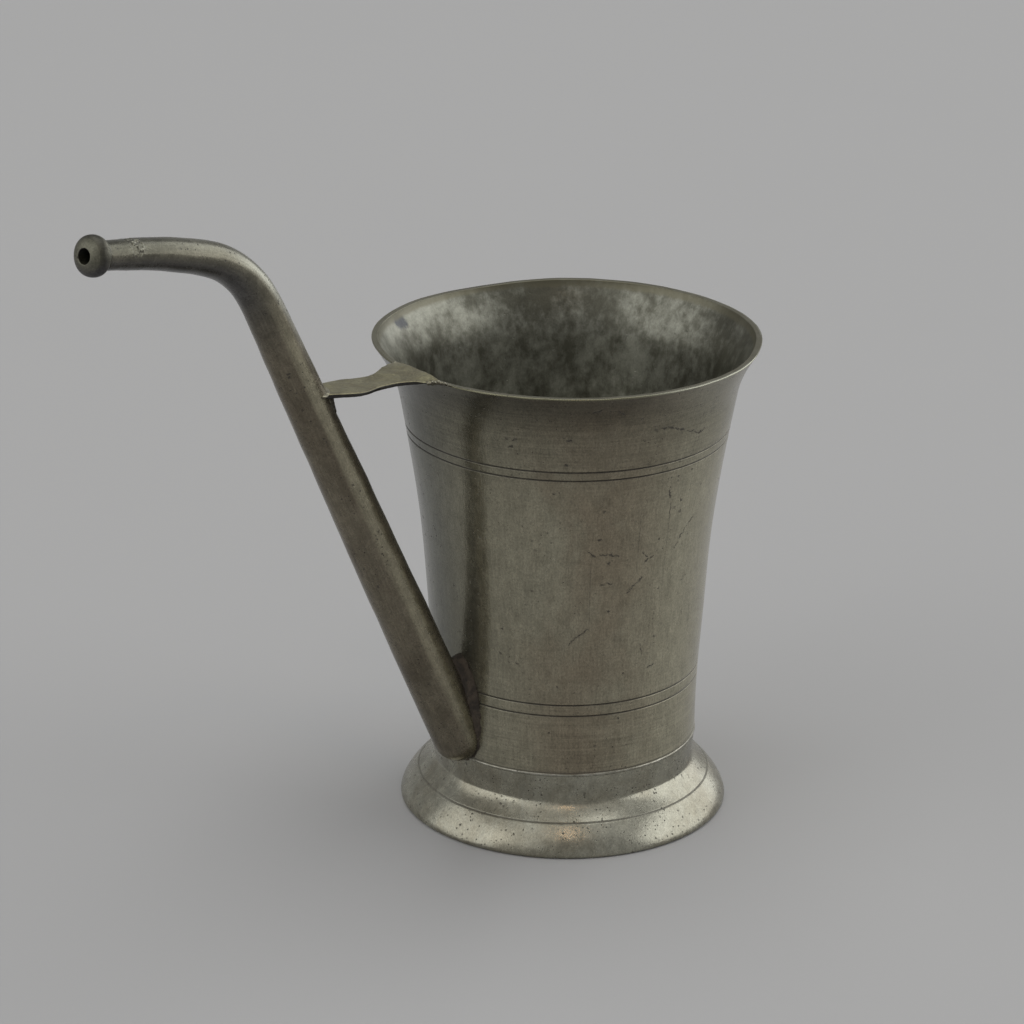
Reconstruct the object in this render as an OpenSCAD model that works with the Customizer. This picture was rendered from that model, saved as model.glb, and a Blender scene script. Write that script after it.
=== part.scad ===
// Feeding jug in pewter: a flared beaker on a moulded foot, with a long thin spout.
// The spout leaves the wall just above the foot, stands off like a handle and ends in a small bulb
// that goes in the drinker's mouth. A flat bracket ties it to the lip. Every seam is soft-soldered.
// Frame: the beaker's axis is Z, the table is z = 0, and the spout leaves towards -X. Millimetres.

/* [Drum] */
// Diameter over the lip
rim_d = 88.4; // [84:0.1:92]
// Height of the lip's outer edge above the table
rim_z = 112.7; // [108:0.1:120]
// Diameter of the drum where it stands on the foot
drum_d = 61.5; // [59:0.1:63]
// How far the wall leans out between foot and lip, on the radius
drum_flare = 10.4; // [8:0.1:11]
// Power of the wall's curve, where 1 is a straight cone
drum_curve = 2.08; // [1.4:0.02:2.4]
// Height of the turned-out lip
lip_h = 11.5; // [8:0.5:14]
// Power of the lip's curve
lip_curve = 1.75; // [1.6:0.05:2.6]
// Rounding of the lip's edge
lip_round = 0.3; // [0.2:0.05:0.4]
// Wall thickness at the foot
wall_foot = 1.7; // [1.3:0.1:2.2]
// Wall thickness at the lip
wall_lip = 1.2; // [0.9:0.1:1.5]
// Thickness of the disc that closes the bottom
floor_t = 1.6; // [1.2:0.1:2.4]
// Radius of the drain port from the drum into the spout
port_r = 2.8; // [2:0.1:3]
// Height of the port's middle above the disc
port_up = 4.2; // [3.8:0.1:5]

/* [Turned lines] */
// Height of the middle of the upper pair of lines
upper_pair_z = 92.4; // [84:0.1:98]
// Distance between the upper two lines
upper_pair_gap = 2.1; // [1.5:0.1:4]
// Height of the middle of the lower pair of lines
lower_pair_z = 33.7; // [30:0.1:44]
// Distance between the lower two lines
lower_pair_gap = 2.7; // [1.5:0.1:4]
// Width of a line at the surface
line_w = 0.5; // [0.3:0.05:0.8]
// Depth of a line
line_depth = 0.3; // [0.15:0.05:0.45]

/* [Foot] */
// Height of the foot up to the seam with the drum
foot_h = 17.5; // [15.5:0.1:20]
// Widest diameter of the foot
foot_d = 76.4; // [72:0.1:84]
// Height of the widest line above the table
foot_edge_h = 1.8; // [1.2:0.1:2.6]
// How far the edge draws in under the widest line
foot_undercut = 0.5; // [0.2:0.1:1]
// Height of the line cut round the moulding
foot_line_z = 7.1; // [5.5:0.1:8]
// Diameter at that line
foot_line_d = 68.2; // [66:0.1:70]
// Height where the hollow curve meets the straight neck
foot_neck_z = 11; // [9.5:0.1:12.5]
// How far the neck draws in there from the drum, on the radius
foot_neck_in = 0.4; // [0.1:0.1:0.8]
// Wall thickness of the foot, measured level
foot_wall = 3; // [2.4:0.1:3.6]
// Height of the spigot that stands up inside the drum
spigot_h = 2.2; // [1.5:0.1:3]
// Wall thickness of the spigot
spigot_wall = 1.6; // [1.2:0.1:2.2]

/* [Spout] */
// Height above the seam where the spout's axis meets the outside of the drum
root_up = 3.6; // [3:0.1:6]
// Lean of the straight stretch from upright, in degrees
spout_lean = 25.1; // [22:0.1:30]
// Length of the straight stretch past the bracket
straight_past = 21.7; // [16:0.1:30]
// Length of the bend along its axis
bend_len = 29.1; // [24:0.1:40]
// Length of the top stretch from the bend to the middle of the bulb
top_len = 30.9; // [26:0.1:40]
// Rise of the top stretch just past the bend, in degrees
rise_bend = 18.4; // [10:0.1:30]
// Rise of the mouthpiece, in degrees
rise_tip = 11.4; // [0:0.1:20]
// Sideways turn of the top stretch, in degrees
veer = 13; // [0:1:20]
// Outer radius at the root
tube_root_r = 6; // [5.4:0.05:6.5]
// Outer radius that the taper reaches at the bulb
tube_tip_r = 2.93; // [2.8:0.01:3.4]
// Power of the taper along the spout
taper_curve = 1.8; // [1.2:0.1:2.6]
// Wall thickness of the tube
tube_wall = 1; // [0.8:0.05:1.2]
// Distance along the axis from the root to the middle of the round closed end
end_up = 1.8; // [1.2:0.1:2.6]

/* [Mouthpiece] */
// Radius of the bulb across its axis
bulb_r = 4.4; // [4.2:0.1:5.6]
// Half length of the bulb along its axis
bulb_half = 3.6; // [3.4:0.1:5]
// Radius of the mouth bore
bore_r = 1.65; // [1.2:0.05:1.7]
// Rounding at the mouth of the bore
mouth_chamfer = 0.25; // [0.15:0.05:0.35]
// Radius of the neck behind the bulb
neck_r = 3.05; // [2.8:0.05:3.3]
// Height of the hollow fillet between bulb and neck
neck_fillet = 0.4; // [0.2:0.05:0.6]
// Length of that fillet along the neck
neck_fillet_len = 1.1; // [0.6:0.1:1.6]
// Distance from the middle of the bulb back to the seam with the tube
shank_len = 12; // [10:0.5:15]
// Length of the spigot that slides into the tube
plug_len = 3.5; // [2.5:0.1:5]

/* [Bracket] */
// Thickness of the strap
strap_t = 0.9; // [0.7:0.05:1.3]
// Half width of the strap at its waist
waist_half = 3.8; // [3:0.1:4.6]
// Distance of the waist outward from the lip's edge
waist_out = 12; // [9:0.5:14]
// Half width of the strap where it meets the tube
tube_end_half = 4.4; // [3.6:0.1:4.8]
// Half width of the fan on the lip
fan_half = 8.8; // [7:0.1:12]
// How far the fan reaches inward from the lip's edge
fan_in = 1.6; // [1.3:0.1:2.4]
// How far the fan stays wide outward from the lip's edge
fan_out = 0.8; // [0.4:0.1:2]
// Power of the fan's side curves
fan_curve = 2.2; // [1.6:0.1:3]
// How far the fan sits to one side of the spout's plane
strap_shift = 0.6; // [0:0.1:1]
// Turn of the strap seen from above, in degrees
strap_turn = 3.5; // [0:0.5:5]

/* [Solder and fits] */
// Clearance between seated pieces, which the solder fills
seam = 0.05; // [0.03:0.01:0.08]
// Leg of the fillet round the spout's root
root_fillet = 1.1; // [0.7:0.1:1.6]
// Leg of the fillet round the bottom disc
floor_fillet = 0.8; // [0.5:0.1:1.2]
// Width of the bright bead between drum and foot
bead = 0.45; // [0.3:0.05:0.6]
// Height of the solder built up round the mouthpiece seam
patch_h = 0.3; // [0.2:0.05:0.5]
// Length of that solder along the tube
patch_len = 6; // [4:0.5:8]
// Leg of the solder where the strap meets the tube
strap_fillet = 1.1; // [0.7:0.1:1.6]
// Radius of the solder drops at the fan's corners
drop_r = 0.9; // [0.6:0.1:1.2]

/* [Hidden] */

// Colours as photographed
pewter = [0.46, 0.44, 0.38];
foot_pewter = [0.56, 0.55, 0.49];
spout_pewter = [0.40, 0.38, 0.33];
solder_grey = [0.60, 0.59, 0.53];
solder_dark = [0.33, 0.29, 0.24];

// Steps of the round shapes and curves
round_fn = 96;
small_fn = 48;
tube_sides = 32;
wall_steps = 16;
lip_steps = 8;
foot_steps = 7;
fan_steps = 10;
dome_steps = 5;
straight_steps = 10;
bend_steps = 14;
top_steps = 6;
neck_steps = 4;
bulb_steps = 14;
// How far a cutting shape runs past what it cuts
over = 1;

// Powers of the foot's hollow curve above its line and of its round edge below
foot_hollow = 1.4;
foot_swell = 1.25;
// Shares of the undercut and of the edge height at the turn of the base
base_turn = [0.3, 0.45];
// Power of the strap's spread towards the tube
spread_curve = 1.5;
// Share of a hollow fillet's leg that is left at its middle
fillet_dip = 0.35;
// Outline of the solder round the mouthpiece seam, in shares of its length and height
patch_shape = [[-0.5, 0], [-0.4, 0.5], [-0.12, 1], [0.12, 1], [0.42, 0.4], [0.5, 0]];

// Radii worked out from the diameters
rim_r = rim_d / 2;
drum_r0 = drum_d / 2;
foot_r = foot_d / 2;
foot_line_r = foot_line_d / 2;
foot_neck_r = drum_r0 - foot_neck_in;
lip_z = rim_z - lip_h;
lip_top = rim_z + lip_round;
lip_r = rim_r - wall_lip / 2;
lip_flare = rim_r - drum_r0 - drum_flare;
wall_z = rim_z - foot_h;

// Outer radius of the drum at height z
function drum_r(z) = drum_r0 + drum_flare * pow(max(0, z - foot_h) / wall_z, drum_curve)
    + lip_flare * pow(max(0, z - lip_z) / lip_h, lip_curve);
// Wall thickness of the drum at height z, measured level
function wall(z) = wall_foot + (wall_lip - wall_foot) * (z - foot_h) / wall_z;
function drum_in(z) = drum_r(z) - wall(z);
// Heights of the drum's stations from the seam to the lip's edge
drum_zs = concat([for (i = [0:wall_steps]) foot_h + (lip_z - foot_h) * i / wall_steps],
    [for (i = [1:lip_steps]) lip_z + lip_h * i / lip_steps]);

// Seats stacked on the foot: the spigot, the bottom disc, then the inside of the cup
spigot_r = drum_in(foot_h) - seam;
spigot_in_r = spigot_r - spigot_wall;
disc_z = foot_h + spigot_h + seam;
inside_z = disc_z + floor_t;
port_z = inside_z + port_up;

// Spout: where its axis meets the drum, and where the bracket meets it
root_z = foot_h + root_up;
root_r = drum_r(root_z);
strap_z = lip_top + seam;
strap_mid_s = (strap_z + strap_t / 2 - root_z) / cos(spout_lean);
straight_len = strap_mid_s + straight_past;
// Height above which the spout stands clear of the wall
clear_z = root_z + 4 * tube_root_r;

// The heading at distance s along the axis, eased through the bend
spout_len = straight_len + bend_len + top_len;
joint_s = spout_len - shank_len;
function ease(u) = u * u * (3 - 2 * u);
function unit_range(v) = min(1, max(0, v));
function bent(s) = ease(unit_range((s - straight_len) / bend_len));
function rise(s) = (90 - spout_lean) * (1 - bent(s)) + rise_bend * bent(s)
    + (rise_tip - rise_bend) * unit_range((s - straight_len - bend_len) / (top_len - shank_len));
function bearing(s) = 180 + veer * bent(s);
function heading(s) = [cos(rise(s)) * cos(bearing(s)), cos(rise(s)) * sin(bearing(s)), sin(rise(s))];
// A level direction square to the heading, and the one square to both
function side(s) = [-sin(bearing(s)), cos(bearing(s)), 0];
function upward(s) = cross(heading(s), side(s));
// Outer radius at distance s
function tube_r(s) = tube_tip_r
    + (tube_root_r - tube_tip_r) * (1 - pow(unit_range(s / spout_len), taper_curve));
// A point on the straight stretch
function straight_at(s) = [-root_r, 0, root_z] + s * heading(0);

// Stations of the tube from its closed end to the mouthpiece seam, and their centres
tube_ss = concat([for (i = [0:straight_steps]) end_up + (straight_len - end_up) * i / straight_steps],
    [for (i = [1:bend_steps]) straight_len + bend_len * i / bend_steps],
    [for (i = [1:top_steps]) straight_len + bend_len
        + (joint_s - straight_len - bend_len) * i / top_steps]);
axis_ss = concat(tube_ss, [spout_len]);
axis_points = [for (i = 0, p = straight_at(end_up); i < len(axis_ss);
    p = i + 1 < len(axis_ss) ? p + (axis_ss[i + 1] - axis_ss[i])
        * heading((axis_ss[i] + axis_ss[i + 1]) / 2) : p, i = i + 1) p];
bulb_at = axis_points[len(axis_points) - 1];

// Mouthpiece along its own axis, with z = 0 at the middle of the bulb
mouth_r = bore_r + mouth_chamfer;
front_z = bulb_half * sqrt(1 - pow(mouth_r / bulb_r, 2));
plug_r = tube_r(joint_s) - tube_wall - seam;
bore_end = -shank_len - plug_len;

// Bracket: it lies on the lip's edge and ends against the tube
strap_tube_r = tube_r(strap_mid_s);
strap_x = -straight_at(strap_mid_s)[0];
waist_x = rim_r + waist_out;
fan_x = rim_r + fan_out;

// Puts children made along +Z at the middle of the bulb, pointing out of the mouth
module at_bulb() {
    translate(bulb_at) rotate([0, 90 - rise(spout_len), bearing(spout_len)]) children();
}

// Puts children made along +Z on the straight stretch, pointing up the tube
module on_straight(s) {
    translate(straight_at(s)) rotate([0, spout_lean, 180]) children();
}

// A ring cut round the axis, with a V section of the line's width and depth
module turned_line(r, z) {
    half = line_w / 2 * (1 + over / line_depth);
    rotate_extrude($fn = round_fn)
        polygon([[r - line_depth, z], [r + over, z - half], [r + over, z + half]]);
}

// The drum's outside as a solid, grown by g, from below the seam to height top
module drum_blank(g, top) {
    zs = [for (z = drum_zs) if (z < top) z];
    rotate_extrude($fn = round_fn) polygon(concat(
        [[0, foot_neck_z], [drum_r0 + g, foot_neck_z]],
        [for (z = zs) [drum_r(z) + g, z]],
        [[drum_r(top) + g, top], [0, top]]));
}

// The root of the spout as one plain rod with a round end, grown by g
module root_rod(g, length) {
    on_straight(end_up) {
        cylinder(r = tube_root_r + g, h = length, $fn = small_fn);
        sphere(r = tube_root_r + g, $fn = small_fn);
    }
}

// Flared drum, open at both ends, with a rounded lip, turned lines and the drain port
module cup_drum() {
    n = len(drum_zs) - 1;
    color(pewter) difference() {
        rotate_extrude($fn = round_fn) polygon(concat(
            [for (z = drum_zs) [drum_r(z), z]],
            [[rim_r - lip_round * (1 - cos(45)), rim_z + lip_round * sin(45)],
                [rim_r - lip_round, lip_top],
                [rim_r - wall_lip + lip_round, lip_top],
                [rim_r - wall_lip, rim_z]],
            [for (i = [n - 1:-1:0]) [drum_in(drum_zs[i]), drum_zs[i]]]));
        for (g = [-0.5, 0.5]) {
            turned_line(drum_r(upper_pair_z + g * upper_pair_gap), upper_pair_z + g * upper_pair_gap);
            turned_line(drum_r(lower_pair_z + g * lower_pair_gap), lower_pair_z + g * lower_pair_gap);
        }
        translate([-drum_r(port_z) - over, 0, port_z]) rotate([0, 90, 0])
            cylinder(r = port_r, h = wall_foot + 2 * over, $fn = small_fn);
    }
}

// Disc that closes the cup, let into the drum and resting on the foot's spigot
module cup_bottom() {
    color(pewter) translate([0, 0, disc_z])
        cylinder(r = min(drum_in(disc_z), drum_in(inside_z)) - seam, h = floor_t, $fn = round_fn);
}

// Outer radius of the moulded foot at height z
function foot_at(z) = z > foot_line_z
    ? foot_neck_r + (foot_line_r - foot_neck_r)
        * pow((foot_neck_z - z) / (foot_neck_z - foot_line_z), foot_hollow)
    : foot_line_r + (foot_r - foot_line_r)
        * (1 - pow(max(0, z - foot_edge_h) / (foot_line_z - foot_edge_h), foot_swell));

// Moulded foot, hollow underneath, with a spigot that centres the drum
module foot() {
    zs = concat([for (i = [0:foot_steps]) foot_edge_h + (foot_line_z - foot_edge_h) * i / foot_steps],
        [for (i = [1:foot_steps]) foot_line_z + (foot_neck_z - foot_line_z) * i / foot_steps]);
    n = len(zs) - 1;
    base_r = foot_r - foot_undercut;
    color(foot_pewter) difference() {
        rotate_extrude($fn = round_fn) polygon(concat(
            [[base_r - foot_wall, 0], [base_r, 0],
                [foot_r - foot_undercut * base_turn[0], foot_edge_h * base_turn[1]]],
            [for (z = zs) [foot_at(z), z]],
            [[drum_r0, foot_h - bead], [drum_r0 - bead, foot_h], [spigot_r, foot_h],
                [spigot_r, foot_h + spigot_h], [spigot_in_r, foot_h + spigot_h],
                [spigot_in_r, foot_neck_z]],
            [for (i = [n:-1:0]) if (foot_at(zs[i]) - foot_wall > spigot_in_r)
                [foot_at(zs[i]) - foot_wall, zs[i]]]));
        turned_line(foot_line_r, foot_line_z);
    }
}

// One tube skin from the closed end to the seam: its radius is the tube's less t
function dome_ring(i, t) = let (a = 90 * i / dome_steps, r = tube_r(end_up) - t)
    [for (k = [0:tube_sides - 1]) let (b = 360 * k / tube_sides)
        straight_at(end_up - r * cos(a)) + r * sin(a) * (cos(b) * side(0) + sin(b) * upward(0))];
function tube_ring(i, t) = let (s = tube_ss[i], r = tube_r(s) - t)
    [for (k = [0:tube_sides - 1]) let (b = 360 * k / tube_sides)
        axis_points[i] + r * (cos(b) * side(s) + sin(b) * upward(s))];
function tube_skin(t) = concat([straight_at(end_up - tube_r(end_up) + t)],
    [for (i = [1:dome_steps - 1]) each dome_ring(i, t)],
    [for (i = [0:len(tube_ss) - 1]) each tube_ring(i, t)]);
rings = dome_steps - 1 + len(tube_ss);
skin_points = 1 + rings * tube_sides;
// Index of point k on ring j of skin m, and the triangles of one skin
function at(m, j, k) = m * skin_points + 1 + j * tube_sides + (k % tube_sides);
function skin_faces(m) = concat(
    [for (k = [0:tube_sides - 1]) [m * skin_points, at(m, 0, k), at(m, 0, k + 1)]],
    [for (j = [0:rings - 2], k = [0:tube_sides - 1]) each
        [[at(m, j, k), at(m, j + 1, k), at(m, j + 1, k + 1)],
            [at(m, j, k), at(m, j + 1, k + 1), at(m, j, k + 1)]]]);
function flipped(faces) = [for (f = faces) [f[2], f[1], f[0]]];
end_faces = [for (k = [0:tube_sides - 1]) each
    [[at(0, rings - 1, k), at(1, rings - 1, k), at(1, rings - 1, k + 1)],
        [at(0, rings - 1, k), at(1, rings - 1, k + 1), at(0, rings - 1, k + 1)]]];

// Tapering bent tube, closed by a round end, whose side is cut to the drum over the port
module spout_tube() {
    color(spout_pewter) difference() {
        polyhedron(points = concat(tube_skin(0), tube_skin(tube_wall)),
            faces = concat(skin_faces(0), flipped(skin_faces(1)), end_faces));
        drum_blank(seam, clear_z);
    }
}

// Bulb, neck and spigot turned in one piece round the straight mouth bore
module mouthpiece() {
    bulb_back = -bulb_half * sqrt(1 - pow((neck_r + neck_fillet) / bulb_r, 2));
    start = asin(front_z / bulb_half);
    finish = asin(bulb_back / bulb_half);
    color(spout_pewter) at_bulb() rotate_extrude($fn = small_fn) polygon(concat(
        [[bore_r, bore_end], [bore_r, front_z - mouth_chamfer]],
        [for (i = [0:bulb_steps]) let (a = start + (finish - start) * i / bulb_steps)
            [bulb_r * cos(a), bulb_half * sin(a)]],
        [for (i = [1:neck_steps]) let (a = 90 * i / neck_steps)
            [neck_r + neck_fillet * (1 - sin(a)), bulb_back - neck_fillet_len * (1 - cos(a))]],
        [[tube_r(joint_s), -shank_len + seam], [plug_r, -shank_len + seam], [plug_r, bore_end]]));
}

// Half width of the strap at distance x from the axis
function strap_half(x) = x < waist_x
    ? waist_half + (fan_half - waist_half) * pow(unit_range((waist_x - x) / (waist_x - fan_x)), fan_curve)
    : waist_half + (tube_end_half - waist_half) * pow((x - waist_x) / (strap_x - waist_x), spread_curve);

// Outline of the strap seen from above, from inner end x0 to the tube's axis, grown by g
module strap_outline(x0, g) {
    xs = concat([x0], [for (i = [0:fan_steps]) fan_x + (waist_x - fan_x) * i / fan_steps], [strap_x]);
    translate([-rim_r, strap_shift]) rotate(strap_turn) translate([rim_r, 0]) polygon(concat(
        [for (x = xs) [-x, strap_half(x) + g]],
        [for (i = [len(xs) - 1:-1:0]) [-xs[i], -strap_half(xs[i]) - g]]));
}

// Rod round the straight stretch where the strap meets it, grown by g
module strap_rod(g) {
    reach = 2 * tube_root_r + waist_half;
    on_straight(strap_mid_s - reach) cylinder(r = strap_tube_r + g, h = 2 * reach, $fn = small_fn);
}

// Flat strap with a waist and a fan that lies across the lip
module rim_bracket() {
    color(pewter) difference() {
        translate([0, 0, strap_z]) linear_extrude(strap_t) strap_outline(rim_r - fan_in, 0);
        strap_rod(2 * seam);
    }
}

// Solder run round the bottom disc, inside the cup
module bottom_solder() {
    r = drum_in(inside_z) - seam;
    dip = floor_fillet * fillet_dip;
    color(solder_grey) rotate_extrude($fn = round_fn) polygon([[r, inside_z], [r - floor_fillet, inside_z],
        [r - dip, inside_z + dip], [r, inside_z + floor_fillet]]);
}

// Bright bead in the V between the drum's lower edge and the foot
module foot_solder() {
    color(solder_grey) rotate_extrude($fn = round_fn) polygon([[drum_r0 - bead + seam, foot_h - seam / 2],
        [drum_r0 + seam, foot_h - bead + seam], [drum_r0 + seam, foot_h - seam / 2]]);
}

// Fillet round the spout's root, between the tube and the drum
module root_solder() {
    color(solder_dark) difference() {
        intersection() {
            root_rod(root_fillet, 6 * tube_root_r);
            drum_blank(root_fillet, clear_z);
            translate([-2 * drum_d, -drum_d, foot_h - bead]) cube([2 * drum_d, 2 * drum_d, drum_d]);
        }
        root_rod(seam, 6 * tube_root_r + over);
        drum_blank(2 * seam, clear_z + over);
    }
}

// Solder built up over the seam between the tube and the mouthpiece
module mouthpiece_solder() {
    r = tube_r(joint_s) + seam;
    slope = (tube_r(joint_s - patch_len / 2) + seam - r) / (patch_len / 2);
    function bed(z) = r + slope * max(0, -z);
    color(solder_grey) at_bulb() translate([0, 0, -shank_len]) rotate_extrude($fn = small_fn)
        polygon(concat([[r, 0]], [for (q = patch_shape) let (z = q[0] * patch_len)
            [bed(z) + q[1] * patch_h, z]]));
}

// Solder above and below the strap where it meets the tube
module strap_solder() {
    color(solder_grey) difference() {
        intersection() {
            strap_rod(strap_fillet);
            translate([0, 0, strap_z - strap_fillet]) linear_extrude(strap_t + 2 * strap_fillet)
                intersection() {
                    strap_outline(rim_r, bead);
                    translate([-strap_x, -2 * tube_root_r]) square([strap_x - waist_x, 4 * tube_root_r]);
                }
        }
        strap_rod(seam);
        translate([0, 0, strap_z - seam]) linear_extrude(strap_t + 2 * seam) strap_outline(rim_r, 2 * seam);
    }
}

// A drop of solder where one corner of the fan sits on the lip, on the side that way gives
module fan_drop(way) {
    color(solder_grey) difference() {
        rotate(-asin((strap_shift + way * (fan_half + drop_r / 2)) / lip_r))
            translate([-lip_r, 0, lip_top]) sphere(r = drop_r, $fn = small_fn);
        translate([0, 0, strap_z - seam]) linear_extrude(strap_t + 2 * seam)
            strap_outline(rim_r - fan_in - over, seam);
        translate([0, 0, lip_top + seam - drop_r - over]) cylinder(r = rim_r + over, h = drop_r + over);
    }
}

module fan_solder_front() {
    fan_drop(-1);
}

module fan_solder_back() {
    fan_drop(1);
}

cup_drum();
cup_bottom();
foot();
spout_tube();
mouthpiece();
rim_bracket();
bottom_solder();
foot_solder();
root_solder();
mouthpiece_solder();
strap_solder();
fan_solder_front();
fan_solder_back();
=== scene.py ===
import math

import bmesh
import bpy
import numpy as np
from mathutils import Matrix, Vector


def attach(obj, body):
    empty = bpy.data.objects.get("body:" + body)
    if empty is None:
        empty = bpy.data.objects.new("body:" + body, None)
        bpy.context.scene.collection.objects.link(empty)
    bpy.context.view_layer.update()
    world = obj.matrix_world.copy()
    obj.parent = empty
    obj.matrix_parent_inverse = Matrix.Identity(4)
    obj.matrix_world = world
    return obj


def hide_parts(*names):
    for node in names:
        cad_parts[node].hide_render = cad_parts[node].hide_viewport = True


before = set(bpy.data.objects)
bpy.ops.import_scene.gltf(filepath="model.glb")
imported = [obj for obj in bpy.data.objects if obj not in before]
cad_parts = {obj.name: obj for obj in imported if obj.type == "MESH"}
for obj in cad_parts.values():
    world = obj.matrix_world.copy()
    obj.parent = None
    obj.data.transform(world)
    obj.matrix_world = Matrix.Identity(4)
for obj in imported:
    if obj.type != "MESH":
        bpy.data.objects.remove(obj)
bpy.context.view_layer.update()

MM = 0.001
TAU = 2 * math.pi
# Sides of the rings that are turned round Z
SIDES = 320

# Sizes in millimetres, as in the part's source
RIM_R = 44.2
RIM_Z = 112.7
LIP_TOP = 113.0
FOOT_H = 17.5
DRUM_R0 = 30.75
DRUM_FLARE = 10.4
DRUM_CURVE = 2.08
LIP_Z = 101.2
LIP_H = 11.5
LIP_FLARE = RIM_R - DRUM_R0 - DRUM_FLARE
LIP_CURVE = 1.75
WALL_FOOT = 1.7
WALL_LIP = 1.2
LINES = (91.35, 93.45, 32.35, 35.05)
INSIDE_Z = 21.35
PORT_Z = 25.55
PORT_R = 2.8
SEAM = 0.05

FOOT_R = 38.2
FOOT_EDGE = 1.8
FOOT_LINE_Z = 7.1
FOOT_LINE_R = 34.1
FOOT_NECK_Z = 11.0
FOOT_NECK_R = 30.35
FOOT_WALL = 3.0
SPIGOT_R = 29.0
SPIGOT_IN = 27.4
SPIGOT_TOP = 19.7

ROOT_Z = 21.1
ROOT_X = -30.7614
LEAN = 25.1
STRAIGHT = 123.735
BEND = 29.1
TOP_RUN = 30.9
SPOUT = STRAIGHT + BEND + TOP_RUN
RISE_BEND = 18.4
RISE_TIP = 11.4
VEER = 13.0
TUBE_ROOT_R = 6.0
TUBE_TIP_R = 2.93
TAPER = 1.8
TUBE_WALL = 1.0
END_UP = 1.8
SHANK = 12.0
PLUG = 3.5
JOINT = SPOUT - SHANK
BULB_R = 4.4
BORE_R = 1.65
NECK_R = 3.05

# Finish that only the visible shapes have, in millimetres: roundings, the worn bulb and foot
LIP_ROLL = 0.26
FOOT_ROUND = 0.8
SHOWN_EDGE = 0.75
SHOWN_HALF = 2.7
SHANK_END = -2.35
MOUTH_ROUND = 0.12
FILLET_OUT = 0.95
FILLET_LONG = 1.6


# Smooth seeded unevenness, about one unit high, with bumps about size millimetres across
def lumps(points, size, seed):
    count = 20
    rng = np.random.default_rng(seed)
    total = np.zeros(len(points))
    for _ in range(count):
        way = rng.normal(size=3)
        way /= np.linalg.norm(way)
        pitch = 2 * size * rng.uniform(0.7, 1.6)
        total += np.sin(points @ way * (TAU / pitch) + rng.uniform(0, TAU))
    return total / math.sqrt(count / 2)


# New object with a mesh, a camera or a light
def add(name, data):
    obj = bpy.data.objects.new(name, data)
    bpy.context.scene.collection.objects.link(obj)
    return obj


# New object from points in millimetres
def make(name, points, faces, sharp=38, mend=False):
    mesh = bpy.data.meshes.new(name)
    mesh.from_pydata((np.asarray(points) * MM).tolist(), [], faces)
    mesh.validate()
    if mend:
        form = bmesh.new()
        form.from_mesh(mesh)
        bmesh.ops.recalc_face_normals(form, faces=form.faces)
        form.to_mesh(mesh)
        form.free()
    obj = add(name, mesh)
    smooth(obj, sharp)
    return obj


def smooth(obj, sharp):
    obj.data.shade_smooth()
    obj.data.set_sharp_from_angle(angle=math.radians(sharp))


def points_of(obj):
    flat = np.zeros(len(obj.data.vertices) * 3, np.float32)
    obj.data.vertices.foreach_get("co", flat)
    return flat.reshape(-1, 3).astype(float) / MM


def move_points(obj, points):
    obj.data.vertices.foreach_set("co", (points * MM).astype(np.float32).ravel())
    obj.data.update()


# Distance of each point from the axis Z
def radii(points):
    return np.hypot(points[:, 0], points[:, 1])


# Angle of each point round Z in degrees
def angles(points):
    return np.degrees(np.arctan2(points[:, 1], points[:, 0]))


# Moves points out from the axis Z
def widen(points, by):
    r = radii(points)
    points[:, :2] *= ((r + by) / r)[:, None]


# 1 at the middle, falling off on both sides over the width
def hump(value, middle, width):
    return np.exp(-((value - middle) / width) ** 2)


# 0 up to start, then rising to 1 over the length
def ramp(value, start, length):
    return np.clip((value - start) / length, 0, 1)


# Quads between equal rings that turn counterclockwise round the way ahead, closed to a loop or capped
def ring_faces(rings, sides, closed=True):
    faces = []
    last = rings if closed else rings - 1
    for i in range(last):
        j = (i + 1) % rings
        for k in range(sides):
            m = (k + 1) % sides
            faces.append((i * sides + k, i * sides + m, j * sides + m, j * sides + k))
    if not closed:
        faces.append(tuple(range(sides))[::-1])
        faces.append(tuple((rings - 1) * sides + k for k in range(sides)))
    return faces


# Ring of metal turned round Z from a profile of (radius, height) that runs up its outside
def turned(profile, sides=SIDES, closed=True):
    profile = np.asarray(profile, float)
    a = np.arange(sides) * TAU / sides
    r = profile[:, 0][:, None]
    z = profile[:, 1][:, None]
    points = np.stack([r * np.cos(a), r * np.sin(a), z + 0 * a], axis=2).reshape(-1, 3)
    return points, ring_faces(len(profile), sides, closed)


# Cuts tool out of obj and removes tool
def carve(obj, tool):
    cut = obj.modifiers.new("cut", "BOOLEAN")
    cut.operation = "DIFFERENCE"
    cut.solver = "EXACT"
    cut.object = tool
    keep_evaluated(obj)
    bpy.data.objects.remove(tool)


# Replaces the object's mesh by what its modifiers make of it
def keep_evaluated(obj):
    graph = bpy.context.evaluated_depsgraph_get()
    mesh = bpy.data.meshes.new_from_object(obj.evaluated_get(graph))
    obj.modifiers.clear()
    obj.data = mesh


# Vector that follows the metal's working direction along its third axis, in millimetres
def set_flow(obj, flow):
    layer = obj.data.attributes.new("flow", "FLOAT_VECTOR", "POINT")
    layer.data.foreach_set("vector", np.asarray(flow, np.float32).ravel())


def set_mask(obj, name, values):
    layer = obj.data.attributes.new(name, "FLOAT", "POINT")
    layer.data.foreach_set("value", np.asarray(values, np.float32).ravel())


# Moves the surface in and out along its normals by seeded unevenness
def roughen(obj, height, size, seed, fine=0.0):
    points = points_of(obj)
    normals = np.zeros(len(points) * 3, np.float32)
    obj.data.vertices.foreach_get("normal", normals)
    push = height * lumps(points, size, seed)
    if fine:
        push = push + fine * lumps(points, size / 3, seed + 100)
    points += normals.reshape(-1, 3) * push[:, None]
    move_points(obj, points)
    set_flow(obj, points)


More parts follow.
